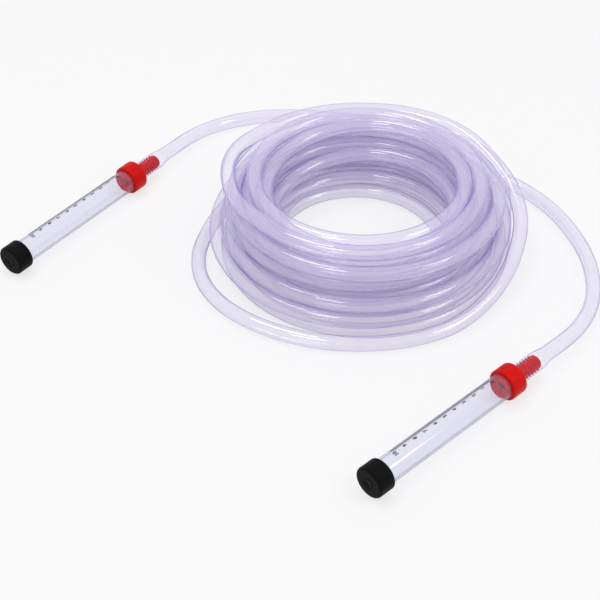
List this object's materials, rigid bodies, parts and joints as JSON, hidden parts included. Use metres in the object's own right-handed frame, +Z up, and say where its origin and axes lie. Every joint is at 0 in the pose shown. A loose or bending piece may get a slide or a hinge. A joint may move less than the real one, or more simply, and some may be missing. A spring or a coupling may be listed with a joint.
{
  "type": "hose water level",
  "caption": "Hose water level: capped clear vials with a printed scale on red barbed adapters, joined by a long clear hose in a heaped coil.",
  "frame": {"origin": "on the floor, midway between the two vial assemblies without their hose", "axes": "+X from the left vial to the right vial, +Y from the caps towards the hose and coil, +Z up"},
  "size_m": [0.4152, 0.3778, 0.0745],
  "materials": {
    "clear_hose": "clear soft vinyl hose, faintly violet, glossy",
    "clear_vial": "clear hard plastic tube, glossy",
    "scale_ink": "dark grey printed ink",
    "red_adapter": "red moulded plastic, semi-gloss",
    "black_cap": "black soft moulded cap, satin",
    "seal_rubber": "red rubber washer"
  },
  "bodies": {
    "coil": {"hose_coil": "clear_hose", "hose_entry": "clear_hose", "hose_descent": "clear_hose", "hose_floor_loop": "clear_hose", "left_hose_lead": "clear_hose", "right_hose_lead": "clear_hose"},
    "left_vial": {"left_vial": "clear_vial", "left_scale": "scale_ink", "left_adapter": "red_adapter", "left_seal": "seal_rubber", "left_hose_end": "clear_hose"},
    "left_cap": {"left_cap": "black_cap"},
    "right_vial": {"right_vial": "clear_vial", "right_scale": "scale_ink", "right_adapter": "red_adapter", "right_seal": "seal_rubber", "right_hose_end": "clear_hose"},
    "right_cap": {"right_cap": "black_cap"}
  },
  "joints": [
    {"name": "left_vial_tilt", "type": "hinge", "parent": "coil", "child": "left_vial", "pos_m": [-0.20044, 0.13019, 0.0219], "axis": [-0.9962, -0.0872, 0], "range_deg": [0, 90], "deforming": ["left_hose_lead"]},
    {"name": "left_cap_pull", "type": "slide", "parent": "left_vial", "child": "left_cap", "axis": [0.0872, -0.9962, 0], "range_m": [0, 0.03]},
    {"name": "right_vial_tilt", "type": "hinge", "parent": "coil", "child": "right_vial", "pos_m": [0.20044, 0.14119, 0.0219], "axis": [-0.9962, 0.0872, 0], "range_deg": [0, 90], "deforming": ["right_hose_lead"]},
    {"name": "right_cap_pull", "type": "slide", "parent": "right_vial", "child": "right_cap", "axis": [-0.0872, -0.9962, 0], "range_m": [0, 0.03]}
  ]
}
